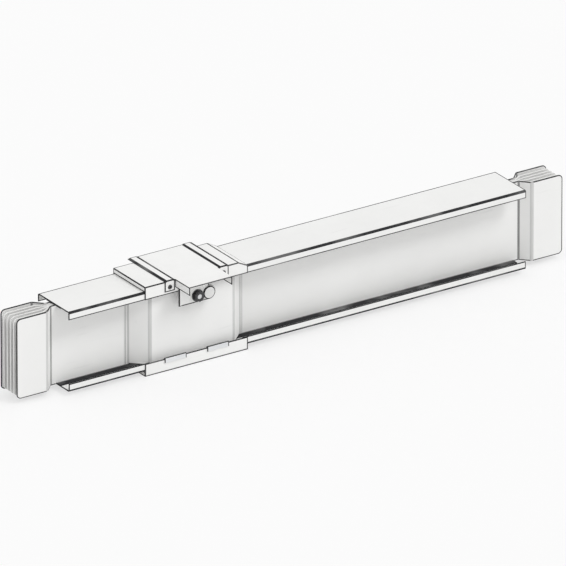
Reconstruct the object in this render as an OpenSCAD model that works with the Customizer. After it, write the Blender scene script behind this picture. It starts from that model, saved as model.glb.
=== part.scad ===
/* [Casing] */
// Width of the casing across its flanges
casing_w = 140; // [120:1:200]
// Height of the casing
casing_h = 215; // [180:1:300]
// Length of the casing from flange end to flange end
casing_len = 1362; // [1100:1:2600]
// Thickness of the casing sheet
sheet_t = 2; // [1.5:0.1:3]
// Depth of the lips along the flanges
lip_h = 21; // [14:0.5:30]
// Outside radius of the sheet's bends
bend_r = 3; // [2:0.1:6]
// Thickness of the closed stack, over both side plates
stack_t = 24; // [22:0.5:40]
// Width of the flanges that carry the side plates
foot_w = 20; // [10:1:28]

/* [Conductors] */
// Thickness of each conductor bar
bar_t = 4.6; // [3:0.1:4.6]
// Space kept above and below the bars
bar_inset = 4; // [3:0.5:20]

/* [Bar ends] */
// How far the bars and side plates reach past the flanges
end_reach = 132; // [110:1:180]
// Where the side plates start to spread
flare_in = 17; // [10:0.5:25]
// Where the side plates are fully spread
flare_out = 41; // [36:0.5:55]
// Thickness of the spread stack, over both side plates
spread_t = 74; // [60:0.5:90]
// Radius of the ends' outer corners
end_r = 12; // [4:0.5:30]
// How much later each inner piece of the stack bends
bend_step = 1.2; // [1:0.1:3]

/* [Joint] */
// Place of the joint, from the casing's left end
joint_at = 376; // [330:1:450]
// How far the covers stand off the casing
cover_rise = 13.5; // [8:0.5:20]
// Thickness of the cover sheet
cover_t = 1.5; // [1:0.1:2.5]
// How far each cover laps over the casing
cover_lap = 15; // [10:1:20]
// Length of the slope at the top cover's right end
cover_slope = 27; // [10:1:40]
// Thickness of the joint, over its side plates
bulge_t = 104; // [94:1:120]
// How far the joint's flat side faces stop short of the flanges
bulge_in = 13; // [8:0.5:16]
// Length of the slope at each end of the joint's side plates
bulge_slope = 41; // [30:1:60]
// Width of the feet of the joint's side plates
bulge_foot = 8; // [6:1:20]

/* [Joint pack] */
// How far the splice plates stop short of the bars' bends
splice_clear = 16.5; // [8:0.5:24]
// How far the splice plates stop short of the bars' edges
splice_inset = 28; // [16:1:32]
// Thickness of the splice plates
splice_t = 4; // [3:0.1:4.2]
// Thickness of the pressure plates
press_t = 5; // [4:0.5:6]
// Length of the pressure plates
press_len = 90; // [60:1:120]
// How far the pressure plates reach past the clamp bolts
press_edge = 27; // [16:1:30]
// Diameter of the clamp bolts
clamp_d = 10; // [8:1:10]
// Height from the latch bolt down to the upper clamp bolt
clamp_drop = 36.5; // [28:0.5:37]
// Size of the clamp bolts' heads and nuts across their flats
clamp_af = 16; // [14:1:18]
// Thickness of the clamp bolts' heads and nuts
clamp_head_h = 6.4; // [5:0.2:7]

/* [Saddle] */
// Thickness of the saddle plate
saddle_t = 1.5; // [1:0.1:3]
// How far the saddle reaches past the back of the cover
saddle_back = 24; // [10:1:40]
// Width of the hood that covers the bolt
hood_w = 126; // [120:1:130]
// How far the hood reaches past the front of the cover
hood_reach = 66; // [40:1:80]
// Depth of the hood's side flanges
hood_h = 22; // [10:1:26]
// Slit between the hood and each finger
slit_w = 1.5; // [1:0.5:4]
// Width of the fingers that are bent over the cover's lip
finger_w = 30; // [26:1:40]
// Length of the fingers
finger_h = 29; // [22:1:32]
// Flat edge on both sides of each rib
rib_edge = 3.5; // [2:0.5:6]
// Height of each rib
rib_h = 1.5; // [1:0.5:5]
// Diameter of the finger screws' heads
screw_d = 12; // [8:1:14]

/* [Latch] */
// Width of the latch plate
latch_w = 107; // [100:1:112]
// Height of the latch plate below its neck
latch_h = 38; // [36:1:44]
// Thickness of the latch plate
latch_t = 3; // [2:0.5:5]
// Height of the bolt below the top of the casing
bolt_drop = 43; // [40:1:60]
// Diameter of the latch bolt
bolt_d = 16; // [12:1:16]
// Size of the bolt's head across its flats
bolt_af = 24; // [22:1:26]
// Thickness of the bolt's head
bolt_head_h = 10; // [8:1:12]
// Diameter of the washer
washer_d = 32; // [28:1:34]
// Thickness of the washer
washer_t = 3; // [2:0.5:4]
// Thickness of the nut behind the joint's side plate
nut_h = 7.5; // [6:0.5:8]
// Diameter of the disc at the latch plate's round end
disc_d = 34; // [26:1:35]
// Thickness of the disc
disc_t = 4; // [2:0.5:6]

/* [Cover clips] */
// Length of each clip on the bottom cover's lips
clip_len = 64; // [30:1:66]
// Space between the two clips of one lip
clip_gap = 62; // [40:1:80]
// Depth of the clips
clip_h = 12; // [8:1:20]

/* [Fits] */
// Clearance where one sheet slides over another
slide_gap = 0.3; // [0.2:0.1:0.6]
// Clearance of a bolt in its hole
hole_gap = 0.5; // [0.3:0.1:0.5]
// Clearance between the joint pack's plates
pack_gap = 0.1; // [0.05:0.05:0.2]

/* [Hidden] */
$fn = 48;
eps = 0.01;
over = 1;

// Heights, from the underside of the bottom cover
casing_bottom = cover_rise;
casing_top = casing_bottom + casing_h;
casing_mid = (casing_bottom + casing_top) / 2;
cover_top = casing_top + cover_rise;
saddle_top = cover_top + saddle_t;

// Lengths, from the middle of the joint
left_end = -joint_at;
right_end = casing_len - joint_at;
flange_gap = end_reach + clamp_d / 2 + hole_gap;
cover_len = 2 * (flange_gap + cover_lap);
bulge_len = 2 * (flange_gap - bulge_in);
LEFT_RUN = [left_end, -flange_gap];
RIGHT_RUN = [flange_gap, right_end];

// Conductors in the closed stack and in the spread ends
BARS = 4;
bar_pitch = (stack_t - 2 * sheet_t) / BARS;
spread_gap = (spread_t - 2 * sheet_t - BARS * bar_t) / (BARS + 1);
spread_pitch = spread_gap + bar_t;
bar_h = casing_h - 2 * bar_inset;

// Latch and clamp bolts
bolt_z = casing_top - bolt_drop;
clamp_pitch = 2 * (bolt_z - clamp_drop - casing_mid);

// Joint pack
splice_len = 2 * (flange_gap - flare_out - splice_clear);
splice_h = bar_h - 2 * splice_inset;
press_h = clamp_pitch + 2 * press_edge;

// Covers
cover_w = casing_w + 2 * (cover_t + slide_gap);
cover_lip = lip_h + cover_rise;
side_h = casing_h - 2 * (2 * sheet_t + slide_gap);

// Faces in front, and the saddle that lies over them
front = -cover_w / 2;
bulge_front = -bulge_t / 2;
latch_front = front - latch_t;
saddle_w = hood_w + 2 * (slit_w + finger_w);
rib_w = finger_w - 2 * rib_edge;

// Outline of a bent strip: a centre line given its thickness
function along(v) = v / norm(v);
function side_of(p, i) = let (d = along(p[i + 1] - p[i])) [-d.y, d.x];
function corner_of(p, i) =
    i == 0 ? side_of(p, 0)
    : i == len(p) - 1 ? side_of(p, i - 1)
    : let (a = side_of(p, i - 1), b = side_of(p, i)) (a + b) / (1 + a * b);
function strip(p, t) = concat(
    [for (i = [0:len(p) - 1]) p[i] + corner_of(p, i) * t / 2],
    [for (i = [len(p) - 1:-1:0]) p[i] - corner_of(p, i) * t / 2]
);

// Centre line, seen from above, of a plate or bar that spreads at both ends of a run
function spread_line(run, closed_y, open_y, late) = [
    [run[0] - end_reach, open_y],
    [run[0] - flare_out - late, open_y],
    [run[0] - flare_in - late, closed_y],
    [run[1] + flare_in + late, closed_y],
    [run[1] + flare_out + late, open_y],
    [run[1] + end_reach, open_y]
];

// Extrudes a side view along the width, or a cross section along the length
module across(y0, y1) {
    translate([0, y1, 0])
        rotate([90, 0, 0])
            linear_extrude(y1 - y0)
                children();
}

module lengthwise(x0, x1) {
    translate([x0, 0, 0])
        rotate([90, 0, 90])
            linear_extrude(x1 - x0)
                children();
}

// Rectangle whose far end has round corners; x1 may lie on either side of x0
module round_ended(x0, x1, z0, z1, r) {
    far = x1 > x0 ? x1 - r : x1 + r;
    translate([min(x0, far), z0])
        square([abs(far - x0), z1 - z0]);
    translate([min(x0, x1), z0 + r])
        square([abs(x1 - x0), z1 - z0 - 2 * r]);
    for (z = [z0 + r, z1 - r])
        translate([far, z])
            circle(r);
}

// Cross section of a sheet channel, open below, standing on the X axis
module channel_section(w, h, t, r) {
    module hump(w, h, r) {
        translate([-w / 2, 0])
            square([w, h - r]);
        translate([-w / 2 + r, 0])
            square([w - 2 * r, h]);
        for (side = [-1, 1])
            translate([side * (w / 2 - r), h - r])
                circle(r);
    }
    difference() {
        hump(w, h, r);
        translate([0, -over])
            hump(w - 2 * t, h - t + over, r - t);
    }
}

module hexagon(af) {
    rotate(30)
        circle(d = af / cos(30), $fn = 6);
}

// Casing channels: the flanges of the I-shaped casing, with their lips
module casing_top(run) {
    color("whitesmoke")
        lengthwise(run[0], run[1])
            translate([0, casing_top - lip_h])
                channel_section(casing_w, lip_h, sheet_t, bend_r);
}

module casing_bottom(run) {
    color("whitesmoke")
        lengthwise(run[0], run[1])
            translate([0, casing_bottom + lip_h])
                mirror([0, 1])
                    channel_section(casing_w, lip_h, sheet_t, bend_r);
}

// Side plates: the web of the casing, spread at both ends beyond the flanges
module side_plate_blank(run) {
    inner_z = casing_bottom + sheet_t;
    inner_h = casing_h - 2 * sheet_t;
    translate([run[0] - slide_gap, inner_z])
        square([run[1] - run[0] + 2 * slide_gap, inner_h]);
    round_ended(run[0] - slide_gap, run[0] - end_reach, casing_bottom, casing_top, end_r);
    round_ended(run[1] + slide_gap, run[1] + end_reach, casing_bottom, casing_top, end_r);
}

module side_plate(run, side) {
    line = spread_line(run, side * (stack_t - sheet_t) / 2, side * (spread_t - sheet_t) / 2, 0);
    foot_y = side > 0 ? stack_t / 2 - eps : -stack_t / 2 + eps - foot_w;
    color("whitesmoke") {
        intersection() {
            translate([0, 0, casing_bottom])
                linear_extrude(casing_h)
                    polygon(strip(line, sheet_t));
            across(-spread_t, spread_t)
                side_plate_blank(run);
        }
        for (z = [casing_bottom + sheet_t, casing_top - 2 * sheet_t])
            translate([run[0], foot_y, z])
                cube([run[1] - run[0], foot_w, sheet_t]);
    }
}

// Conductor bars: flat in the closed stack, fanned out at both ends
module bar(run, i) {
    place = i - (BARS + 1) / 2;
    late = bend_step * (BARS / 2 - floor(abs(place)));
    line = spread_line(run, place * bar_pitch, place * spread_pitch, late);
    low = casing_bottom + bar_inset;
    high = casing_top - bar_inset;
    color("gainsboro")
        intersection() {
            translate([0, 0, low])
                linear_extrude(bar_h)
                    polygon(strip(line, bar_t));
            across(-spread_t, spread_t) {
                translate([run[0], low])
                    square([run[1] - run[0], bar_h]);
                round_ended(run[0], run[0] - end_reach, low, high, end_r);
                round_ended(run[1], run[1] + end_reach, low, high, end_r);
            }
        }
}

// Joint pack: what clamps the bars of the two runs together
function gap_middle(i) = (i - BARS / 2) * spread_pitch;
function bar_middle(i) = (i - (BARS + 1) / 2) * spread_pitch;

module clamp_holes() {
    for (side = [-1, 1])
        translate([0, 0, casing_mid + side * clamp_pitch / 2])
            rotate([90, 0, 0])
                cylinder(d = clamp_d + 2 * hole_gap, h = 2 * bulge_t, center = true);
}

module pack_plate(len, y, t, h) {
    translate([-len / 2, y - t / 2, casing_mid - h / 2])
        cube([len, t, h]);
}

module splice_plates() {
    color("silver")
        difference() {
            for (i = [1:BARS], side = [-1, 1])
                pack_plate(splice_len, bar_middle(i) + side * (bar_t + splice_t) / 2, splice_t, splice_h);
            clamp_holes();
        }
}

module joint_insulators() {
    inner_t = spread_gap - 2 * splice_t - 2 * pack_gap;
    outer_t = spread_gap - splice_t - 2 * pack_gap;
    outer_y = (spread_t / 2 - sheet_t) - pack_gap - outer_t / 2;
    color("sienna")
        difference() {
            union() {
                for (i = [1:BARS - 1])
                    pack_plate(splice_len, gap_middle(i), inner_t, splice_h);
                for (side = [-1, 1])
                    pack_plate(splice_len, side * outer_y, outer_t, splice_h);
            }
            clamp_holes();
        }
}

module pressure_plate(side) {
    color("silver")
        difference() {
            pack_plate(press_len, side * (spread_t + press_t) / 2, press_t, press_h);
            clamp_holes();
        }
}

module clamp_bolts() {
    seat = spread_t / 2 + press_t;
    color("dimgray")
        for (side = [-1, 1])
            translate([0, 0, casing_mid + side * clamp_pitch / 2]) {
                across(-seat - clamp_head_h, -seat)
                    hexagon(clamp_af);
                across(-seat - over, seat + clamp_head_h)
                    circle(d = clamp_d);
            }
}

module clamp_nuts() {
    seat = spread_t / 2 + press_t;
    color("dimgray")
        for (side = [-1, 1])
            translate([0, 0, casing_mid + side * clamp_pitch / 2])
                across(seat, seat + clamp_head_h)
                    difference() {
                        hexagon(clamp_af);
                        circle(d = clamp_d + 2 * pack_gap);
                    }
}

// Joint side plates: they bulge out past the spread stack and sit on the webs
module joint_side(side) {
    flat = bulge_len / 2;
    foot = flat + bulge_slope;
    out_y = side * (bulge_t - sheet_t) / 2;
    foot_y = side * (stack_t + sheet_t) / 2;
    line = [
        [-foot - bulge_foot, foot_y], [-foot, foot_y], [-flat, out_y],
        [flat, out_y], [foot, foot_y], [foot + bulge_foot, foot_y]
    ];
    color("whitesmoke")
        difference() {
            translate([0, 0, casing_mid - side_h / 2])
                linear_extrude(side_h)
                    polygon(strip(line, sheet_t));
            if (side < 0)
                latch_bolt_hole();
        }
}

module latch_bolt_hole() {
    translate([0, 0, bolt_z])
        across(latch_front - over, bulge_front + 2 * sheet_t)
            circle(d = bolt_d + 2 * hole_gap);
}

// Space that the casing's ends take up inside the covers, with their sliding gap
module casing_in_covers() {
    w = casing_w + 2 * slide_gap;
    for (x = [-cover_len / 2 - over, flange_gap])
        translate([x, -w / 2, casing_bottom - slide_gap])
            cube([cover_lap + over, w, casing_h + 2 * slide_gap]);
}

// Top cover: closed at its left end, sloping down to the casing at its right end
module top_cover_side(inset) {
    low = casing_top - lip_h - (inset > 0 ? over : 0);
    left = -cover_len / 2 + inset;
    right = cover_len / 2 - inset;
    high = cover_top - inset;
    fall = cover_rise / cover_slope;
    lean = inset * (sqrt(1 + fall * fall) - 1) / fall;
    slope_start = cover_len / 2 - cover_slope - lean;
    polygon([
        [left, low], [left, high], [slope_start, high],
        [right, high - fall * (right - slope_start)], [right, low]
    ]);
}

module joint_cover_top() {
    color("white")
        difference() {
            across(-cover_w / 2, cover_w / 2)
                top_cover_side(0);
            across(-cover_w / 2 + cover_t, cover_w / 2 - cover_t)
                top_cover_side(cover_t);
            casing_in_covers();
        }
}

// Bottom cover: a plain tray, closed at both ends
module joint_cover_bottom() {
    color("white")
        difference() {
            translate([-cover_len / 2, -cover_w / 2, 0])
                cube([cover_len, cover_w, cover_lip]);
            translate([-cover_len / 2 + cover_t, -cover_w / 2 + cover_t, cover_t])
                cube([cover_len - 2 * cover_t, cover_w - 2 * cover_t, cover_lip]);
            casing_in_covers();
        }
}

// Clips over the upper edges of the bottom cover's lips
module cover_clips() {
    rim = cover_lip;
    color("gainsboro")
        for (end = [-1, 1], side = [-1, 1])
            translate([end * (clip_gap + clip_len) / 2, side * (cover_w - cover_t) / 2, rim])
                difference() {
                    translate([-clip_len / 2, -1.5 * cover_t, -clip_h + cover_t])
                        cube([clip_len, 3 * cover_t, clip_h]);
                    translate([-clip_len / 2 - over, -cover_t / 2, -clip_h - over])
                        cube([clip_len + 2 * over, cover_t, clip_h + over]);
                }
}

// Saddle plate: one pressing with two ribs, two fingers and the hood in front
module ribbed_sheet() {
    edge = saddle_w / 2;
    rib_x = edge - finger_w / 2;
    level = cover_top + saddle_t / 2;
    RIB = [-rib_w / 2, -rib_w / 2 + rib_h, rib_w / 2 - rib_h, rib_w / 2];
    HEIGHT = [0, rib_h, rib_h, 0];
    ribbed = concat(
        [[-edge, level]],
        [for (i = [0:3]) [-rib_x + RIB[i], level + HEIGHT[i]]],
        [for (i = [0:3]) [rib_x + RIB[i], level + HEIGHT[i]]],
        [[edge, level]]
    );
    polygon(strip(ribbed, saddle_t));
}

// The ribs run on over the bend, so the fingers' tops have the ribs' outline
module fingers() {
    low = saddle_top - finger_h;
    for (x = [-saddle_w / 2, saddle_w / 2 - finger_w]) {
        translate([x, low])
            square([finger_w, finger_h]);
        intersection() {
            ribbed_sheet();
            translate([x, low])
                square([finger_w, finger_h + rib_h]);
        }
    }
}

module saddle_plate() {
    hood = hood_w / 2;
    color("white") {
        across(front, -front + saddle_back)
            ribbed_sheet();
        across(front - saddle_t, front + eps)
            fingers();
        across(front - hood_reach, front + eps)
            polygon([
                [-hood, saddle_top - hood_h], [-hood, saddle_top], [hood, saddle_top],
                [hood, saddle_top - hood_h], [hood - saddle_t, saddle_top - hood_h],
                [hood - saddle_t, cover_top], [-hood + saddle_t, cover_top],
                [-hood + saddle_t, saddle_top - hood_h]
            ]);
    }
}

module saddle_screws() {
    screw_x = saddle_w / 2 - finger_w / 2;
    screw_z = saddle_top - finger_h + screw_d;
    color("darkgray")
        for (side = [-1, 1])
            translate([side * screw_x, front - saddle_t, screw_z])
                rotate([90, 0, 0])
                    cylinder(d = screw_d, h = saddle_t);
}

// Latch: a plate under the hood, bolted through to the joint's side plate
module latch_plate() {
    left = -latch_w / 2;
    right = latch_w / 2;
    low = bolt_z - latch_h / 2;
    color("white")
        difference() {
            across(latch_front, front) {
                translate([left, low])
                    square([latch_w - latch_h / 2, cover_top - low]);
                translate([right - latch_h / 2, bolt_z])
                    circle(d = latch_h);
            }
            latch_bolt_hole();
        }
}

module latch_washer() {
    color("gray")
        translate([0, 0, bolt_z])
            across(latch_front - washer_t, latch_front)
                difference() {
                    circle(d = washer_d);
                    circle(d = bolt_d + 2 * hole_gap);
                }
}

module latch_bolt() {
    seat = latch_front - washer_t;
    color("dimgray")
        translate([0, 0, bolt_z]) {
            across(seat - bolt_head_h, seat)
                hexagon(bolt_af);
            across(seat - over, bulge_front + sheet_t + nut_h)
                circle(d = bolt_d);
        }
}

module latch_nut() {
    color("dimgray")
        translate([0, 0, bolt_z])
            across(bulge_front + sheet_t, bulge_front + sheet_t + nut_h)
                difference() {
                    hexagon(bolt_af);
                    circle(d = bolt_d + 2 * pack_gap);
                }
}

module latch_disc() {
    color("white")
        translate([latch_w / 2 - latch_h / 2, 0, bolt_z])
            across(latch_front - disc_t, latch_front)
                circle(d = disc_d);
}

casing_top(LEFT_RUN);  // casing_top_left
casing_top(RIGHT_RUN);  // casing_top_right
casing_bottom(LEFT_RUN);  // casing_bottom_left
casing_bottom(RIGHT_RUN);  // casing_bottom_right
side_plate(LEFT_RUN, -1);  // side_plate_front_left
side_plate(LEFT_RUN, 1);  // side_plate_back_left
side_plate(RIGHT_RUN, -1);  // side_plate_front_right
side_plate(RIGHT_RUN, 1);  // side_plate_back_right
bar(LEFT_RUN, 1);  // bar_1_left
bar(LEFT_RUN, 2);  // bar_2_left
bar(LEFT_RUN, 3);  // bar_3_left
bar(LEFT_RUN, 4);  // bar_4_left
bar(RIGHT_RUN, 1);  // bar_1_right
bar(RIGHT_RUN, 2);  // bar_2_right
bar(RIGHT_RUN, 3);  // bar_3_right
bar(RIGHT_RUN, 4);  // bar_4_right
splice_plates();
joint_insulators();
pressure_plate(-1);  // pressure_plate_front
pressure_plate(1);  // pressure_plate_back
clamp_bolts();
clamp_nuts();
joint_side(-1);  // joint_side_front
joint_side(1);  // joint_side_back
joint_cover_top();
joint_cover_bottom();
cover_clips();
saddle_plate();
saddle_screws();
latch_plate();
latch_washer();
latch_bolt();
latch_nut();
latch_disc();
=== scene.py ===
"""Straight busway section: its finishes, its bent and pressed edges, and its small hardware."""

import math

import bmesh
import bpy
from mathutils import Matrix, Vector


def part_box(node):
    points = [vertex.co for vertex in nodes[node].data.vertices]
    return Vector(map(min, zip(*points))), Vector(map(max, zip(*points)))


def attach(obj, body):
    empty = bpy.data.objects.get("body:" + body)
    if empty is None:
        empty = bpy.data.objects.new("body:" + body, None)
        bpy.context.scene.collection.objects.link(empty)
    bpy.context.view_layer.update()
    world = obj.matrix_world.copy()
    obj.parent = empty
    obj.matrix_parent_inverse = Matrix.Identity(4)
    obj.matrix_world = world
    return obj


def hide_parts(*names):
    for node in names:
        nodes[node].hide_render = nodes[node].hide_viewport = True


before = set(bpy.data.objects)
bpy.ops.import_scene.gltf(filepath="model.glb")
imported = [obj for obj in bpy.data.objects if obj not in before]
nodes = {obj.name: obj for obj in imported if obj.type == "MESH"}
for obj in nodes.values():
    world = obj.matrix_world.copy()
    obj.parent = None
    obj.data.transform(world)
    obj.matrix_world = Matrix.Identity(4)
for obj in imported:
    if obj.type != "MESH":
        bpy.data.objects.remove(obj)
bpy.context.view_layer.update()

# Lengths are in metres, as in the frame; points nearer than WELD become one
MM = 0.001
WELD = 0.02 * MM

# Angles between faces: within a flat face, at an edge, at a square edge and at a knife edge; and
# the cosine of the angle up to which they shade as one
FLAT = math.radians(0.5)
SHARP = math.radians(20)
SQUARE = math.radians(40)
WEDGE = math.radians(120)
SMOOTH = math.cos(math.radians(35))

# A sheet's two materials: its coat, and the primer where it was cut
PAINTED = 0
CUT = 1

# Sheet thicknesses, and the bends with their number of facets
CASING_SHEET = 2.0 * MM
COVER_SHEET = 1.5 * MM
LATCH_SHEET = 3.0 * MM
INNER_BEND = 0.8 * MM
INNER_FACETS = 3
OUTER_BEND = 2.8 * MM
OUTER_FACETS = 4
PRESSED_FACETS = 3

# The band along an edge where the coat is thin. A WIDE face takes it all round, a NOTCHED one along
# its LONG edges, and a SLIM one is thin all over
BAND = 2.4 * MM
WIDE = 4 * BAND
NOTCHED = 2.5 * BAND
SLIM = 2 * BAND
LONG = 3 * BAND

# A cut face is nearly as wide as its sheet is thick and square nearly all round, or very small
CUT_SPREAD = 0.3
CUT_ROUND = 0.8
CUT_SQUARES = 3

# The share of the shortest edge at a fold's ends that its rounding may take
FOLD_ROOM = 0.8


# ---------------------------------------------------------------- places

def middle(node):
    """The middle of a CAD node's box."""
    low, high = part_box(node)
    return (low + high) / 2


# ---------------------------------------------------------------- meshes

def cad_copy(node):
    """A welded copy of a CAD node, with its flat faces made whole."""
    bm = bmesh.new()
    bm.from_mesh(nodes[node].data)
    bm.faces.layers.float.new("worn")
    bmesh.ops.remove_doubles(bm, verts=bm.verts, dist=WELD)
    bmesh.ops.dissolve_limit(
        bm,
        angle_limit=FLAT,
        use_dissolve_boundaries=False,
        verts=bm.verts,
        edges=bm.edges,
    )
    for face in bm.faces:
        face.material_index = PAINTED
    return bm


def round_edges(bm, edges, width, segments):
    """Rounds these edges by a width measured along the faces, and gives back the new faces."""
    if not edges:
        return []
    made = bmesh.ops.bevel(
        bm,
        geom=edges,
        offset=width,
        offset_type="OFFSET",
        segments=segments,
        profile=0.5,
        affect="EDGES",
        clamp_overlap=True,
        material=-1,
    )
    return made["faces"]


def mark_wear_and_shade(bm, faces, amount=1.0):
    """Lets the black primer under the coat show on these faces: where edges and bends are worn, and as
    painted shade on the side plates' feet.
    """
    for face in faces:
        face[bm.faces.layers.float["worn"]] = amount


def sharp_edges(bm):
    """The edges between two faces that meet at an angle."""
    return [e for e in bm.edges if len(e.link_faces) == 2 and e.calc_face_angle() > SHARP]


def face_width(face):
    """The width of a long narrow face."""
    return 2 * face.calc_area() / face.calc_perimeter()


def mark_cut_faces(bm, thickness):
    """Gives the faces where the sheet was cut the second material: the narrow ones and the small ones."""
    for face in bm.faces:
        square = sum(e.calc_length() for e in face.edges if e.calc_face_angle(0) > SQUARE)
        narrow = abs(face_width(face) - thickness) < CUT_SPREAD * thickness
        small = face.calc_area() < CUT_SQUARES * thickness ** 2
        if small or (narrow and square > CUT_ROUND * face.calc_perimeter()):
            face.material_index = CUT


def arc_faces(bm, thickness):
    """The narrow facets of the round bends."""
    return [f for f in bm.faces if f.material_index == PAINTED and face_width(f) < thickness / 2]


def fold_edges(bm, convex):
    """The sharp edges along bends: those that touch no cut face."""
    return [
        e for e in sharp_edges(bm)
        if e.is_convex == convex and all(f.material_index != CUT for f in e.link_faces)
    ]


def connected(edges):
    """Splits edges into groups that share no vertex."""
    groups = []
    for edge in edges:
        group = [edge]
        for other in [g for g in groups if any(v in e.verts for e in g for v in edge.verts)]:
            groups.remove(other)
            group += other
        groups.append(group)
    return groups


def round_folds(bm, edges, width, segments):
    """Rounds folds, each connected group by as much as the edges that end at it allow."""
    made = []
    for group in connected(edges):
        ends = {e for edge in group for v in edge.verts for e in v.link_edges if e not in group}
        room = min(e.calc_length() for e in ends)
        made += round_edges(bm, group, min(width, FOLD_ROOM * room), segments)
    return made


def takes_band(face):
    """Whether a band along a face's edges leaves each edge some length inside it."""
    if face.material_index == CUT or face_width(face) < WIDE:
        return False
    for corner in face.loops:
        lost = 0
        for end in (corner, corner.link_loop_next):
            turn = math.pi - end.calc_angle()
            lost += BAND * math.tan(turn / 2) * (1 if end.is_convex else -1)
        if corner.edge.calc_length() < lost:
            return False
    return True


def wear_across(bm, corner):
    """How worn the rim or the bend is that a face's edge runs along."""
    other = corner.link_loop_radial_next.face
    if other.material_index == CUT or corner.edge.calc_face_angle(0) > SHARP:
        return 1.0
    return other[bm.faces.layers.float["worn"]]


def cut_strips(bm, tag, number):
    """Cuts a band off a tagged face along each of its long edges that a rim or a bend runs along."""
    worn = bm.faces.layers.float["worn"]
    face = [f for f in bm.faces if f[tag] == number][0]
    sides = []
    for corner in face.loops:
        start = corner.vert.co.copy()
        run = corner.link_loop_next.vert.co - start
        amount = wear_across(bm, corner)
        if amount and run.length > LONG:
            sides.append((start, run, face.normal.cross(run).normalized(), amount))
    for start, run, inward, amount in sides:
        pieces = [f for f in bm.faces if f[tag] == number]
        parts = (part for f in pieces for part in (*f.verts, *f.edges, f))
        bmesh.ops.bisect_plane(
            bm,
            geom=list(dict.fromkeys(parts)),
            dist=WELD,
            plane_co=start + inward * BAND,
            plane_no=inward,
        )
    for piece in [f for f in bm.faces if f[tag] == number]:
        for start, run, inward, amount in sides:
            spot = piece.calc_center_median() - start
            if 0 < spot.dot(inward) < BAND and 0 < spot.dot(run) < run.length_squared:
                piece[worn] = max(piece[worn], amount)


def inset_bands(bm, wide):
    """Sets off a band all round each wide face, as worn as the rim or bend beside it."""
    worn = bm.faces.layers.float["worn"]
    bmesh.ops.inset_individual(bm, faces=wide, thickness=BAND, use_even_offset=True)
    bands = {f for face in wide for e in face.edges for f in e.link_faces if f not in wide}
    for band in bands:
        for edge in band.edges:
            other = [f for f in edge.link_faces if f != band][0]
            if other.material_index == CUT or edge.calc_face_angle(0) > SHARP:
                band[worn] = 1.0
            elif other not in bands:
                band[worn] = max(band[worn], other[worn])


def add_bands(bm):
    """Thins the coat along the rims and bends: in bands on the wide faces, all over on the slim ones."""
    tag = bm.faces.layers.int.new("strip")
    worn = bm.faces.layers.float["worn"]
    plain = [f for f in bm.faces if not f[worn] and f.material_index != CUT]
    wide = [f for f in plain if takes_band(f)]
    notched = [f for f in plain if f not in wide and face_width(f) > NOTCHED]
    for face in plain:
        if face_width(face) < SLIM:
            sides = [wear_across(bm, c) for c in face.loops if c.edge.calc_length() > LONG]
            face[worn] = max(sides, default=0)
    for number, face in enumerate(notched, 1):
        face[tag] = number
    inset_bands(bm, wide)
    for number in range(1, len(notched) + 1):
        cut_strips(bm, tag, number)
    bm.faces.layers.int.remove(tag)


def bent_sheet(node, thickness, inner_wear=1.0, outer_wear=1.0):
    """A CAD sheet with round bends and primed cut faces."""
    bm = cad_copy(node)
    mark_cut_faces(bm, thickness)
    mark_wear_and_shade(bm, arc_faces(bm, thickness))
    inner = round_folds(bm, fold_edges(bm, convex=False), INNER_BEND, INNER_FACETS)
    mark_wear_and_shade(bm, inner, inner_wear)
    outer = round_folds(bm, fold_edges(bm, convex=True), OUTER_BEND, OUTER_FACETS)
    mark_wear_and_shade(bm, outer, outer_wear)
    add_bands(bm)
    return bm


def pressed_sheet(node, thickness, rounding):
    """A thinner CAD sheet with its bends and its cut edges rounded alike."""
    bm = cad_copy(node)
    mark_cut_faces(bm, thickness)
    edges = [e for e in sharp_edges(bm) if e.calc_face_angle() < WEDGE]
    mark_wear_and_shade(bm, round_edges(bm, edges, rounding, PRESSED_FACETS))
    add_bands(bm)
    return bm


def deburred(node, width, segments=2):
    """A CAD piece with all its sharp edges rounded."""
    bm = cad_copy(node)
    round_edges(bm, sharp_edges(bm), width, segments)
    return bm


def turned(profile, closed=False, segments=48):
    """A solid turned round Z from (radius, height) points in millimetres."""
    bm = bmesh.new()
    verts = [bm.verts.new((radius * MM, 0, height * MM)) for radius, height in profile]
    pairs = list(zip(verts, verts[1:]))
    if closed:
        pairs.append((verts[-1], verts[0]))
    edges = [bm.edges.new(pair) for pair in pairs]
    bmesh.ops.spin(
        bm,
        geom=verts + edges,
        cent=(0, 0, 0),
        axis=(0, 0, 1),
        angle=math.tau,
        steps=segments,
        use_merge=True,
    )
    bmesh.ops.remove_doubles(bm, verts=bm.verts, dist=WELD)
    bmesh.ops.recalc_face_normals(bm, faces=bm.faces)
    return bm


def facing_front(bm, seat):
    """Turns a part made round +Z to point to the front, with its foot at the seat."""
    turn = Matrix.Rotation(math.radians(90), 4, "X")
    bmesh.ops.transform(bm, matrix=Matrix.Translation(seat) @ turn, verts=bm.verts)
    return bm


def join(target, other):
    """Adds one bmesh to another."""
    mesh = bpy.data.meshes.new("part")
    other.to_mesh(mesh)
    other.free()
    target.from_mesh(mesh)
    bpy.data.meshes.remove(mesh)


def shading_normals(bm):
    """Normals for the corners of all faces: large faces stay flat, and the bends between them turn."""
    bm.normal_update()
    areas = {face: face.calc_area() for face in bm.faces}
    normals = []
    for face in bm.faces:
        for corner in face.loops:
            total = Vector()
            for near in corner.vert.link_faces:
                if near.normal.dot(face.normal) > SMOOTH:
                    total += near.normal * areas[near]
            normals.append(total.normalized() if total.length else face.normal.copy())
    return normals


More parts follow.
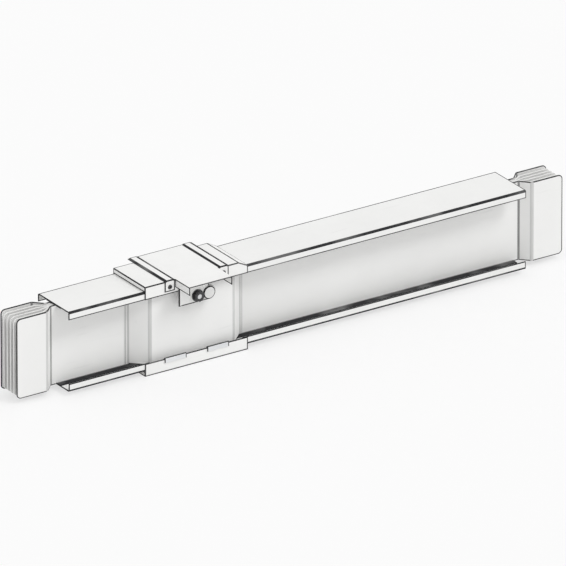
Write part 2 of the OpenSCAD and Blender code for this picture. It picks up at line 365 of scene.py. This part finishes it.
def add_piece(name, bm, materials, slot, *replaced):
    """Makes a finished piece that rides on the section and stands for its CAD nodes."""
    mesh = bpy.data.meshes.new(name)
    normals = shading_normals(bm)
    bm.to_mesh(mesh)
    bm.free()
    for material in materials:
        mesh.materials.append(material)
    mesh.shade_smooth()
    mesh.normals_split_custom_set(normals)
    piece = bpy.data.objects.new(name, mesh)
    bpy.context.scene.collection.objects.link(piece)
    if replaced:
        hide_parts(*replaced)
    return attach(piece, "root")


# ---------------------------------------------------------------- shader groups

def add_node(tree, kind, inputs=None, **settings):
    """Adds a shader node. An input is a value, or a socket to take it from."""
    node = tree.nodes.new(kind)
    for name, value in settings.items():
        setattr(node, name, value)
    for name, value in (inputs or {}).items():
        if isinstance(value, bpy.types.NodeSocket):
            tree.links.new(value, node.inputs[name])
        else:
            node.inputs[name].default_value = value
    return node


def new_group(name, inputs, outputs):
    """A node group with float inputs and outputs, and its two end nodes."""
    tree = bpy.data.node_groups.new(name, "ShaderNodeTree")
    for label, default in inputs.items():
        socket = tree.interface.new_socket(name=label, in_out="INPUT", socket_type="NodeSocketFloat")
        socket.default_value = default
    for label in outputs:
        tree.interface.new_socket(name=label, in_out="OUTPUT", socket_type="NodeSocketFloat")
    return tree, tree.nodes.new("NodeGroupInput"), tree.nodes.new("NodeGroupOutput")


def on_object(tree):
    """Coordinates in metres that stay with the piece."""
    return add_node(tree, "ShaderNodeTexCoord").outputs["Object"]


def drawn_out(tree, place, along, across):
    """Coordinates that make a pattern finer across the run than along it."""
    scale = add_node(tree, "ShaderNodeCombineXYZ", {"X": along, "Y": across, "Z": across})
    mapping = add_node(tree, "ShaderNodeMapping", {"Vector": place, "Scale": scale.outputs[0]})
    return mapping.outputs[0]


def noise(tree, vector, scale, detail=2.0, roughness=0.5):
    """Soft random spots, from 0 to 1."""
    node = add_node(
        tree,
        "ShaderNodeTexNoise",
        {"Vector": vector, "Scale": scale, "Detail": detail, "Roughness": roughness},
    )
    return node.outputs["Fac"]


def remap(tree, value, low, high, to_low=0.0, to_high=1.0):
    """Takes one range of values to another, and goes no further at its ends."""
    node = add_node(
        tree,
        "ShaderNodeMapRange",
        {"Value": value, "From Min": low, "From Max": high, "To Min": to_low, "To Max": to_high},
    )
    return node.outputs["Result"]


def calculate(tree, operation, first, second):
    """Arithmetic on two values or sockets."""
    node = add_node(tree, "ShaderNodeMath", operation=operation)
    for slot, value in enumerate((first, second)):
        if isinstance(value, bpy.types.NodeSocket):
            tree.links.new(value, node.inputs[slot])
        else:
            node.inputs[slot].default_value = value
    return node.outputs[0]


# How fine the orange peel is, how high the waves stand beside it, and the flecks' share of its fineness
PEEL = 420.0
WAVE_HEIGHT = 2.0
FLECK_SHARE = 0.35


def coat_group():
    """Powder coat: orange peel, slow waves in the sheet, patches of tone and flecks of dullness."""
    tree, given, out = new_group(
        "powder_coat_grain",
        {"Peel": PEEL, "Wave": 7.0, "Patch": 5.0},
        ("Height", "Tone", "Dullness"),
    )
    place = on_object(tree)
    peel = noise(tree, place, given.outputs["Peel"], detail=3)
    wave = noise(tree, place, given.outputs["Wave"], detail=1)
    patch = noise(tree, place, given.outputs["Patch"], detail=4, roughness=0.6)
    fleck = noise(tree, place, calculate(tree, "MULTIPLY", given.outputs["Peel"], FLECK_SHARE))
    height = calculate(tree, "ADD", peel, calculate(tree, "MULTIPLY", wave, WAVE_HEIGHT))
    tree.links.new(height, out.inputs["Height"])
    tree.links.new(remap(tree, patch, 0.3, 0.7), out.inputs["Tone"])
    tree.links.new(remap(tree, fleck, 0.35, 0.65), out.inputs["Dullness"])
    return tree


def rub_group():
    """Sparse rub marks along the run, broken up by larger patches."""
    tree, given, out = new_group(
        "rub_marks",
        {"Length": 5.0, "Fineness": 90.0, "Amount": 0.3},
        ("Mask",),
    )
    place = on_object(tree)
    lines = drawn_out(tree, place, given.outputs["Length"], given.outputs["Fineness"])
    streaks = remap(tree, noise(tree, lines, 1.0, detail=3), 0.62, 0.72)
    patches = remap(tree, noise(tree, place, 9.0), 0.5, 0.7)
    mask = calculate(tree, "MULTIPLY", streaks, patches)
    tree.links.new(calculate(tree, "MULTIPLY", mask, given.outputs["Amount"]), out.inputs["Mask"])
    return tree


def brush_group():
    """Drawn or brushed metal: fine lines along the run, and slow patches of tone."""
    tree, given, out = new_group(
        "brushed_lines",
        {"Along": 12.0, "Across": 700.0},
        ("Height", "Line", "Patch"),
    )
    place = on_object(tree)
    lines = drawn_out(tree, place, given.outputs["Along"], given.outputs["Across"])
    line = noise(tree, lines, 1.0, detail=2)
    tree.links.new(line, out.inputs["Height"])
    tree.links.new(remap(tree, line, 0.35, 0.65), out.inputs["Line"])
    tree.links.new(remap(tree, noise(tree, place, 14.0, detail=3), 0.3, 0.7), out.inputs["Patch"])
    return tree


def wear_group():
    """Primer that shows along the edges and bends a piece marks as worn, and on the side plates' feet as
    painted shade; broken by fine specks.
    """
    tree, given, out = new_group("wear_and_painted_shade", {"Amount": 1.0, "Grain": 900.0}, ("Mask",))
    place = on_object(tree)
    worn = add_node(tree, "ShaderNodeAttribute", attribute_name="worn").outputs["Fac"]
    specks = remap(tree, noise(tree, place, given.outputs["Grain"], detail=3), 0.14, 0.24)
    stretches = remap(tree, noise(tree, place, 11.0), 0.25, 0.5, to_low=0.8)
    mask = calculate(tree, "MULTIPLY", calculate(tree, "MULTIPLY", worn, specks), stretches)
    tree.links.new(calculate(tree, "MULTIPLY", mask, given.outputs["Amount"]), out.inputs["Mask"])
    return tree


COAT = coat_group()
WEAR_AND_SHADE = wear_group()
RUB = rub_group()
BRUSH = brush_group()


# ---------------------------------------------------------------- materials

def new_material(name, roughness=0.5, metallic=0.0, specular=0.5):
    """A material with its Principled shader; the constants sit on the shader's own sockets."""
    material = bpy.data.materials.new(name)
    material.use_nodes = True
    tree = material.node_tree
    shader = tree.nodes["Principled BSDF"]
    shader.inputs["Roughness"].default_value = roughness
    shader.inputs["Metallic"].default_value = metallic
    shader.inputs["Specular IOR Level"].default_value = specular
    return material, tree, shader


def place_group(tree, group, **values):
    """Puts a shared group in a material with its own values."""
    node = add_node(tree, "ShaderNodeGroup", node_tree=group)
    for name, value in values.items():
        node.inputs[name].default_value = value
    return node.outputs


def blend_colours(tree, mask, first, second):
    """Goes from the first colour to the second by the mask; the first may be a socket."""
    node = add_node(tree, "ShaderNodeMix", data_type="RGBA")
    tree.links.new(mask, node.inputs["Factor"])
    for name, colour in (("A", first), ("B", second)):
        socket = [s for s in node.inputs if s.name == name and s.type == "RGBA"][0]
        if isinstance(colour, bpy.types.NodeSocket):
            tree.links.new(colour, socket)
        else:
            socket.default_value = (*colour, 1.0)
    return [s for s in node.outputs if s.type == "RGBA"][0]


def bump(tree, shader, height, strength, distance):
    """Raises the surface's shading by a height."""
    node = add_node(
        tree,
        "ShaderNodeBump",
        {"Height": height, "Strength": strength, "Distance": distance},
    )
    tree.links.new(node.outputs["Normal"], shader.inputs["Normal"])


def scaled(colour, factor):
    """A lighter or darker colour."""
    return tuple(min(1.0, channel * factor) for channel in colour)


OFF_WHITE = (0.88, 0.88, 0.87)
COVER_WHITE = (0.9, 0.9, 0.89)
PRIMER_AND_SHADE_BLACK = (0.03, 0.03, 0.032)
ZINC = (0.7, 0.71, 0.72)
PALE_ZINC = scaled(ZINC, 1.2)
BAR_METAL = (0.86, 0.86, 0.85)
SPLICE_METAL = (0.78, 0.78, 0.79)
DARK_STEEL = (0.08, 0.08, 0.083)
MOULDED_BROWN = (0.42, 0.22, 0.13)

# The tone of a rub mark, and how much duller the primer is than the coat
RUB_TONE = 0.72
PRIMER_DULLNESS = 0.4


def powder_coat(name, colour, roughness=0.45, peel=PEEL, patch=5.0, rubbed=0.25):
    """Off-white powder coat on sheet steel; its black primer shows along the edges and bends, and stands
    for painted shade on the side plates' feet.
    """
    material, tree, shader = new_material(name, specular=0.12)
    grain = place_group(tree, COAT, Peel=peel, Patch=patch)
    marks = place_group(tree, RUB, Amount=rubbed)
    base = blend_colours(tree, grain["Tone"], scaled(colour, 0.965), scaled(colour, 1.01))
    base = blend_colours(tree, marks["Mask"], base, scaled(colour, RUB_TONE))
    # The mask turns the coat black at worn edges and bends, and on the side plates' feet as painted shade
    wear_and_shade = place_group(tree, WEAR_AND_SHADE)
    base = blend_colours(tree, wear_and_shade["Mask"], base, PRIMER_AND_SHADE_BLACK)
    tree.links.new(base, shader.inputs["Base Color"])
    rough = remap(tree, grain["Dullness"], 0.0, 1.0, roughness - 0.05, roughness + 0.08)
    duller = calculate(tree, "MULTIPLY", wear_and_shade["Mask"], PRIMER_DULLNESS)
    rough = calculate(tree, "ADD", rough, duller)
    tree.links.new(rough, shader.inputs["Roughness"])
    bump(tree, shader, grain["Height"], strength=0.25, distance=0.15 * MM)
    return material


def bare_metal(name, colour, roughness, metallic=1.0, along=12.0, across=700.0, worn_to=None):
    """Plated or bare metal with fine drawn lines, and what shows where its plating is worn off."""
    material, tree, shader = new_material(name, metallic=metallic)
    lines = place_group(tree, BRUSH, Along=along, Across=across)
    base = blend_colours(tree, lines["Line"], scaled(colour, 0.92), scaled(colour, 1.05))
    base = blend_colours(tree, lines["Patch"], base, scaled(colour, 0.9))
    if worn_to:
        base = blend_colours(tree, place_group(tree, WEAR_AND_SHADE)["Mask"], base, worn_to)
    tree.links.new(base, shader.inputs["Base Color"])
    rough = remap(tree, lines["Patch"], 0.0, 1.0, roughness - 0.06, roughness + 0.08)
    tree.links.new(rough, shader.inputs["Roughness"])
    bump(tree, shader, lines["Height"], strength=0.2, distance=0.05 * MM)
    return material


def moulded(name, colour, roughness):
    """Moulded insulator with pale glass flecks."""
    material, tree, shader = new_material(name)
    place = on_object(tree)
    flecks = remap(tree, noise(tree, place, 900.0, detail=2), 0.6, 0.75)
    base = blend_colours(tree, flecks, colour, scaled(colour, 1.6))
    tree.links.new(base, shader.inputs["Base Color"])
    rough = remap(tree, noise(tree, place, 60.0), 0.3, 0.7, roughness - 0.06, roughness + 0.06)
    tree.links.new(rough, shader.inputs["Roughness"])
    bump(tree, shader, noise(tree, place, 500.0), strength=0.2, distance=0.1 * MM)
    return material


casing_paint = powder_coat("casing_paint", OFF_WHITE)
side_paint = powder_coat("side_paint", OFF_WHITE, patch=3.5)
cover_paint = powder_coat("cover_paint", COVER_WHITE, 0.42, patch=9.0)
saddle_paint = powder_coat("saddle_paint", COVER_WHITE, 0.4, patch=14.0, rubbed=0.35)
disc_white = powder_coat("disc_white", COVER_WHITE, 0.35, peel=900.0, patch=30.0, rubbed=0.15)
primer = powder_coat("primer", PRIMER_AND_SHADE_BLACK, 0.85, peel=900.0, patch=40.0)
conductor = bare_metal("conductor", BAR_METAL, 0.55, metallic=0.3)
splice_metal = bare_metal("splice_metal", SPLICE_METAL, 0.35)
zinc_plate = bare_metal("zinc_plate", ZINC, 0.34, along=30.0)
clip_zinc = bare_metal("clip_zinc", PALE_ZINC, 0.5, metallic=0.6, along=30.0, worn_to=PRIMER_AND_SHADE_BLACK)
bolt_steel = bare_metal("bolt_steel", DARK_STEEL, 0.4, metallic=0.85, along=250.0, across=250.0)
insulator = moulded("insulator", MOULDED_BROWN, 0.55)


# ---------------------------------------------------------------- sheets and bars

# How far the edges are rounded
BAR_EDGE = 0.8 * MM
COVER_ROUNDING = {"top": 0.3 * MM, "bottom": 0.6 * MM}
SADDLE_ROUNDING = 0.6 * MM
LATCH_ROUNDING = 0.5 * MM

# How worn a side plate's inner bends, outer bends and upright rims are, along the run and at the joint
SIDE_WEAR = (0.7, 0.3, 1.0)
JOINT_WEAR = (0.35, 0.3, 0.4)

# A foot is a face whose normal points up by at least this much, and it is at least this wide; the lower
# foot is painted black as the trough's shade
FACING_UP = 0.9
FOOT_LEAST = 4 * MM


def add_sheet(node, sheet, paint, slot):
    """Makes a sheet's piece: its coat on the faces, and primer where it was cut."""
    add_piece(node + "_sheet", sheet, (paint, primer), slot, node)


def side_sheet(node, inner_wear, outer_wear, upright_wear):
    """A plate of the bar channel: its bends are less worn, and its lower foot, at the bottom of the
    trough, is painted black as the trough's shade.
    """
    sheet = bent_sheet(node, CASING_SHEET, inner_wear, outer_wear)
    low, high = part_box(node)
    half_way = middle(node).z
    # Painted shade: the upward face of the lower foot lies at the bottom of the trough, and is made fully
    # primer black in place of the trough's shade
    for face in sheet.faces:
        foot = face.normal.z > FACING_UP and face_width(face) > FOOT_LEAST
        if foot and face.calc_center_median().z < half_way:
            mark_wear_and_shade(sheet, [face])
    worn = sheet.faces.layers.float["worn"]
    for face in sheet.faces:
        heights = [v.co.z for v in face.verts]
        upright = max(heights) - min(heights) > (high.z - low.z) / 2
        rim = upright and face_width(face) < SLIM
        if rim and (face.material_index == CUT or face[worn] == 1.0):
            face.material_index = PAINTED
            face[worn] = upright_wear
    return sheet


for end in ("left", "right"):
    for level in ("top", "bottom"):
        casing = f"casing_{level}_{end}"
        add_sheet(casing, bent_sheet(casing, CASING_SHEET), casing_paint, "casing_paint")
    for face in ("front", "back"):
        plate = f"side_plate_{face}_{end}"
        add_sheet(plate, side_sheet(plate, *SIDE_WEAR), side_paint, "side_paint")
    for number in range(1, 5):
        bar = f"bar_{number}_{end}"
        add_piece(bar + "_rounded", deburred(bar, BAR_EDGE), (conductor,), "conductor", bar)
for face in ("front", "back"):
    plate = f"joint_side_{face}"
    add_sheet(plate, side_sheet(plate, *JOINT_WEAR), side_paint, "side_paint")
for level in ("top", "bottom"):
    cover = f"joint_cover_{level}"
    rounding = COVER_ROUNDING[level]
    add_sheet(cover, pressed_sheet(cover, COVER_SHEET, rounding), cover_paint, "cover_paint")
saddle_sheet = pressed_sheet("saddle_plate", COVER_SHEET, SADDLE_ROUNDING)
add_sheet("saddle_plate", saddle_sheet, saddle_paint, "saddle_paint")


# ---------------------------------------------------------------- latch

def latch_seat(node):
    """Where a turned part of the latch is seated: the middle of the back of its CAD node."""
    place = middle(node)
    place.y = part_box(node)[1].y
    return place


def radius_and_thickness(node):
    """A turned part's radius and thickness, in millimetres."""
    low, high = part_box(node)
    return (high.x - low.x) / 2 / MM, (high.y - low.y) / MM


def latch_washer():
    """A washer dished towards its bore, with round edges."""
    outer, thick = radius_and_thickness("latch_washer")
    bore = 8.5
    dish = 0.8
    edge = 0.4
    profile = [
        (bore, dish),
        (outer - edge, 0),
        (outer, edge),
        (outer, thick - dish - edge),
        (outer - edge, thick - dish),
        (bore + edge, thick),
        (bore, thick - edge),
    ]
    return facing_front(turned(profile, closed=True), latch_seat("latch_washer"))


# The head's chamfer leaves a round crown of this share of the flats, and the hollow's rim and wall
# are shares of the crown
HEAD_CROWN = 0.94
HEAD_SLOPE = math.radians(30)
HEAD_CUTS = 7
HOLLOW_RIM = 0.4
HOLLOW_WALL = 0.06
HOLLOW_DEPTH = 1.2 * MM


def hex_head(flats, height):
    """A hexagon head with its top corners turned off and a bright hollow in its middle."""
    bm = bmesh.new()
    corner = flats / math.sqrt(3)
    bmesh.ops.create_cone(
        bm,
        cap_ends=True,
        cap_tris=False,
        segments=6,
        radius1=corner,
        radius2=corner,
        depth=height,
    )
    level = [e for e in bm.edges if abs(e.verts[0].co.z - e.verts[1].co.z) < WELD]
    bmesh.ops.subdivide_edges(bm, edges=level, cuts=HEAD_CUTS)
    top = max(bm.faces, key=lambda f: f.calc_center_median().z)
    rim = list(top.verts)
    crown = flats / 2 * HEAD_CROWN
    bmesh.ops.inset_region(bm, faces=[top], thickness=corner - crown, use_even_offset=True)
    for vert in top.verts:
        vert.co.xy = vert.co.xy.normalized() * crown
    for vert in rim:
        vert.co.z -= (vert.co.xy.length - crown) * math.tan(HEAD_SLOPE)
    bmesh.ops.inset_region(bm, faces=[top], thickness=crown * HOLLOW_RIM)
    bmesh.ops.inset_region(bm, faces=[top], thickness=crown * HOLLOW_WALL, depth=-HOLLOW_DEPTH)
    top.material_index = CUT
    bmesh.ops.translate(bm, verts=bm.verts, vec=(0, 0, height / 2))
    return bm


def latch_bolt():
    """Hexagon bolt with a washer face under its head and a chamfered end."""
    low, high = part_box("latch_bolt")
    flats = high.x - low.x
    washer_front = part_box("latch_washer")[0].y
    head = (washer_front - low.y) / MM
    face = 0.6
    bm = hex_head(flats, (head - face) * MM)
    bmesh.ops.translate(bm, verts=bm.verts, vec=(0, 0, face * MM))
    collar = flats / 2 / MM
    shank = 8.0
    chamfer = 1
    end = (high.y - washer_front) / MM
    shaft = [
        (0, face),
        (collar, face),
        (collar, 0),
        (shank, 0),
        (shank, chamfer - end),
        (shank - chamfer, -end),
        (0, -end),
    ]
    join(bm, turned(shaft))
    place = latch_seat("latch_bolt")
    place.y = washer_front
    return facing_front(bm, place)


def latch_disc():
    """Turned disc with a dark round rim and a shallow hollow."""
    outer, thick = radius_and_thickness("latch_disc")
    hollow = outer - 5
    sunk = 0.6
    rim = outer - 2.4
    edge = 1
    corner = 0.3
    profile = [
        (0, thick - sunk),
        (hollow, thick - sunk),
        (hollow + sunk, thick),
        (rim, thick),
        (outer - edge, thick),
        (outer - corner, thick - corner),
        (outer, thick - edge),
        (outer, 0),
        (0, 0),
    ]
    bm = turned(profile)
    for face in bm.faces:
        if min(v.co.xy.length for v in face.verts) > rim * MM - WELD:
            face.material_index = CUT
    return facing_front(bm, latch_seat("latch_disc"))


latch_sheet = pressed_sheet("latch_plate", LATCH_SHEET, LATCH_ROUNDING)
add_piece("latch_plate_punched", latch_sheet, (saddle_paint, primer), "saddle_paint", "latch_plate")
add_piece("latch_washer_dished", latch_washer(), (bolt_steel,), "bolt_steel", "latch_washer")
add_piece("latch_bolt_hexagon", latch_bolt(), (bolt_steel, zinc_plate), "bolt_steel", "latch_bolt")
add_piece("latch_disc_turned", latch_disc(), (disc_white, primer), "saddle_paint", "latch_disc")


# ---------------------------------------------------------------- screws and clips

# A pan head's outline from its crown to its foot, as shares of its radius and its height
PAN_HEAD = ((0.62, 1), (0.85, 0.86), (0.97, 0.55), (1, 0.25), (1, 0), (0, 0))
SCREW_HEIGHT = 2.6
SCREW_SEGMENTS = 24

# The cross recess: its half width and its depth as shares of the head, and how far it narrows
RECESS = 0.42
RECESS_DEPTH = 0.7
RECESS_TAPER = 0.75
RECESS_CELLS = 3


def cross_recess(size, depth):
    """A cross-shaped hollow that narrows downwards from its open mouth at Z = 0."""
    bm = bmesh.new()
    bmesh.ops.create_grid(bm, x_segments=RECESS_CELLS, y_segments=RECESS_CELLS, size=size)
    arm = size / RECESS_CELLS
    corners = []
    for face in bm.faces:
        spot = face.calc_center_median()
        if min(abs(spot.x), abs(spot.y)) > arm:
            corners.append(face)
    bmesh.ops.delete(bm, geom=corners, context="FACES")
    mouth = list(bm.faces)
    sunk = bmesh.ops.extrude_face_region(bm, geom=mouth)["geom"]
    bmesh.ops.delete(bm, geom=mouth, context="FACES")
    floor = [v for v in sunk if isinstance(v, bmesh.types.BMVert)]
    bmesh.ops.translate(bm, verts=floor, vec=(0, 0, -depth))
    bmesh.ops.scale(bm, verts=floor, vec=(RECESS_TAPER, RECESS_TAPER, 1))
    return bm


def cross_screw(radius, height):
    """A pan head with a cross recess, in millimetres, standing on Z = 0."""
    profile = [(radius * across, height * up) for across, up in PAN_HEAD]
    bm = turned(profile, segments=SCREW_SEGMENTS)
    recess = cross_recess(radius * RECESS * MM, height * RECESS_DEPTH * MM)
    bmesh.ops.translate(recess, verts=recess.verts, vec=(0, 0, height * MM))
    join(bm, recess)
    top = height * MM - WELD
    crown = [e for e in bm.edges if e.is_boundary and all(v.co.z > top for v in e.verts)]
    bmesh.ops.bridge_loops(bm, edges=crown)
    bmesh.ops.recalc_face_normals(bm, faces=bm.faces)
    return bm


def saddle_screws():
    """Both finger screws."""
    low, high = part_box("saddle_screws")
    radius = (high.z - low.z) / 2
    both = bmesh.new()
    for x in (low.x + radius, high.x - radius):
        screw = cross_screw(radius / MM, SCREW_HEIGHT)
        join(both, facing_front(screw, Vector((x, high.y, low.z + radius))))
    return both


# Spring clips, in millimetres: the height kept for the roll above the lip, the play inside it, and
# the flare and height of the foot of each leg
CLIP_LENGTH = 64.0
CLIP_SHEET = 1.2
CLIP_ABOVE = 1.5
CLIP_PLAY = 0.1
CLIP_FLARE = 0.7
CLIP_FOOT = 2.5
CLIP_STEPS = 8

# The roll is worn where its normal points up by more than this
CLIP_ROLL = 0.3


def spring_clip(length, depth, lip, sheet):
    """A spring clip that hangs over a lip at Z = 0, along X; sizes in millimetres."""
    half = (lip + sheet) / 2 + CLIP_PLAY
    turns = [math.pi * step / CLIP_STEPS for step in range(CLIP_STEPS + 1)]
    path = [(-half - CLIP_FLARE, -depth), (-half, CLIP_FOOT - depth)]
    path += [(-half * math.cos(turn), half * math.sin(turn)) for turn in turns]
    path += [(half, CLIP_FOOT - depth), (half + CLIP_FLARE, -depth)]
    bm = bmesh.new()
    verts = [bm.verts.new((0, y * MM, z * MM)) for y, z in path]
    edges = [bm.edges.new(pair) for pair in zip(verts, verts[1:])]
    grown = bmesh.ops.extrude_edge_only(bm, edges=edges)["geom"]
    far = [v for v in grown if isinstance(v, bmesh.types.BMVert)]
    bmesh.ops.translate(bm, verts=far, vec=(length * MM, 0, 0))
    bmesh.ops.recalc_face_normals(bm, faces=bm.faces)
    bmesh.ops.solidify(bm, geom=list(bm.faces), thickness=sheet * MM)
    bmesh.ops.recalc_face_normals(bm, faces=bm.faces)
    for cut in (BAND, length * MM - BAND):
        geom = bm.verts[:] + bm.edges[:] + bm.faces[:]
        bmesh.ops.bisect_plane(bm, geom=geom, plane_co=(cut, 0, 0), plane_no=(1, 0, 0))
    worn = bm.faces.layers.float.new("worn")
    for face in bm.faces:
        reach = abs(face.calc_center_median().x - length * MM / 2)
        if reach > length * MM / 2 - BAND or face.normal.z > CLIP_ROLL:
            face[worn] = 1.0
    return bm


def cover_clips():
    """Two clips over each long lip of the bottom cover."""
    low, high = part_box("cover_clips")
    tray_low, tray_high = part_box("joint_cover_bottom")
    depth = (high.z - low.z) / MM - CLIP_ABOVE
    every = bmesh.new()
    for x in (low.x, high.x - CLIP_LENGTH * MM):
        for y in (tray_low.y + COVER_SHEET / 2, tray_high.y - COVER_SHEET / 2):
            clip = spring_clip(CLIP_LENGTH, depth, COVER_SHEET / MM, CLIP_SHEET)
            bmesh.ops.translate(clip, verts=clip.verts, vec=(x, y, tray_high.z))
            join(every, clip)
    return every


add_piece("saddle_screws_cross", saddle_screws(), (bolt_steel,), "bolt_steel", "saddle_screws")
add_piece("cover_clips_spring", cover_clips(), (clip_zinc,), "zinc_plate", "cover_clips")


# ---------------------------------------------------------------- joint pack, kept from the frame

KEPT = {
    "splice_plates": splice_metal,
    "joint_insulators": insulator,
    "pressure_plate_front": zinc_plate,
    "pressure_plate_back": zinc_plate,
    "clamp_bolts": bolt_steel,
    "clamp_nuts": bolt_steel,
    "latch_nut": bolt_steel,
}
for node, material in KEPT.items():
    nodes[node].data.materials.clear()
    nodes[node].data.materials.append(material)


# ---------------------------------------------------------------- stage, light and camera

# The floor lies just under the bottom cover, so that the two share no plane
FLOOR_GAP = 0.2 * MM
FLOOR_RADIUS = 20
FLOOR_WHITE = (0.92, 0.92, 0.92, 1)
WHITE = (1, 1, 1, 1)

# How much of the floor's white is glow, for the camera alone
GLOW = 0.62


def stage_material():
    """White floor that keeps the shadow but shows close to white to the camera."""
    material, tree, shader = new_material("stage_white", roughness=0.9, specular=0.1)
    shader.inputs["Base Color"].default_value = FLOOR_WHITE
    glow = add_node(tree, "ShaderNodeEmission", {"Color": WHITE, "Strength": 1.0})
    light_path = add_node(tree, "ShaderNodeLightPath")
    share = calculate(tree, "MULTIPLY", light_path.outputs["Is Camera Ray"], GLOW)
    mix = add_node(tree, "ShaderNodeMixShader", {0: share, 1: shader.outputs[0], 2: glow.outputs[0]})
    tree.links.new(mix.outputs[0], tree.nodes["Material Output"].inputs["Surface"])
    return material


def make_stage():
    """A wide round floor under the section."""
    bm = bmesh.new()
    bmesh.ops.create_circle(bm, cap_ends=True, radius=FLOOR_RADIUS, segments=64)
    bmesh.ops.translate(bm, verts=bm.verts, vec=(0, 0, -FLOOR_GAP))
    mesh = bpy.data.meshes.new("stage_floor")
    bm.to_mesh(mesh)
    bm.free()
    mesh.materials.append(stage_material())
    floor = bpy.data.objects.new("stage_floor", mesh)
    bpy.context.scene.collection.objects.link(floor)


def make_world(soft_light):
    """Even sky light on the object; white where the camera, metal or glass sees it."""
    world = bpy.data.worlds.new("studio")
    world.use_nodes = True
    bpy.context.scene.world = world
    tree = world.node_tree
    rays = add_node(tree, "ShaderNodeLightPath").outputs
    seen = calculate(tree, "MAXIMUM", rays["Is Camera Ray"], rays["Is Glossy Ray"])
    seen = calculate(tree, "MAXIMUM", seen, rays["Is Transmission Ray"])
    back = tree.nodes["Background"]
    back.inputs["Color"].default_value = WHITE
    tree.links.new(remap(tree, seen, 0.0, 1.0, to_low=soft_light), back.inputs["Strength"])


def add_sun(name, towards, strength, softness):
    """A broad lamp that shines along a direction."""
    lamp = bpy.data.lights.new(name, "SUN")
    lamp.energy = strength
    lamp.angle = math.radians(softness)
    sun = bpy.data.objects.new(name, lamp)
    sun.rotation_euler = Vector(towards).to_track_quat("-Z", "Y").to_euler()
    bpy.context.scene.collection.objects.link(sun)


def make_camera(azimuth, elevation, target, width, lens):
    """A very long lens, far away, so that parallel edges stay parallel."""
    turn, lift = math.radians(azimuth), math.radians(elevation)
    back = Vector((math.sin(turn) * math.cos(lift), -math.cos(turn) * math.cos(lift), math.sin(lift)))
    data = bpy.data.cameras.new("camera")
    data.lens = lens
    distance = width * lens / data.sensor_width
    data.clip_start, data.clip_end = distance / 100, distance * 2
    camera = bpy.data.objects.new("camera", data)
    camera.location = Vector(target) + back * distance
    camera.rotation_euler = (-back).to_track_quat("-Z", "Y").to_euler()
    bpy.context.scene.collection.objects.link(camera)
    bpy.context.scene.camera = camera


make_stage()
make_world(soft_light=0.76)
add_sun("key", towards=(-0.35, 0.6, -0.85), strength=0.95, softness=20)
make_camera(azimuth=-33.5, elevation=23.9, target=(0.3044, 0, 0.1162), width=1.4075, lens=1500)
bpy.context.scene.view_settings.view_transform = "Standard"
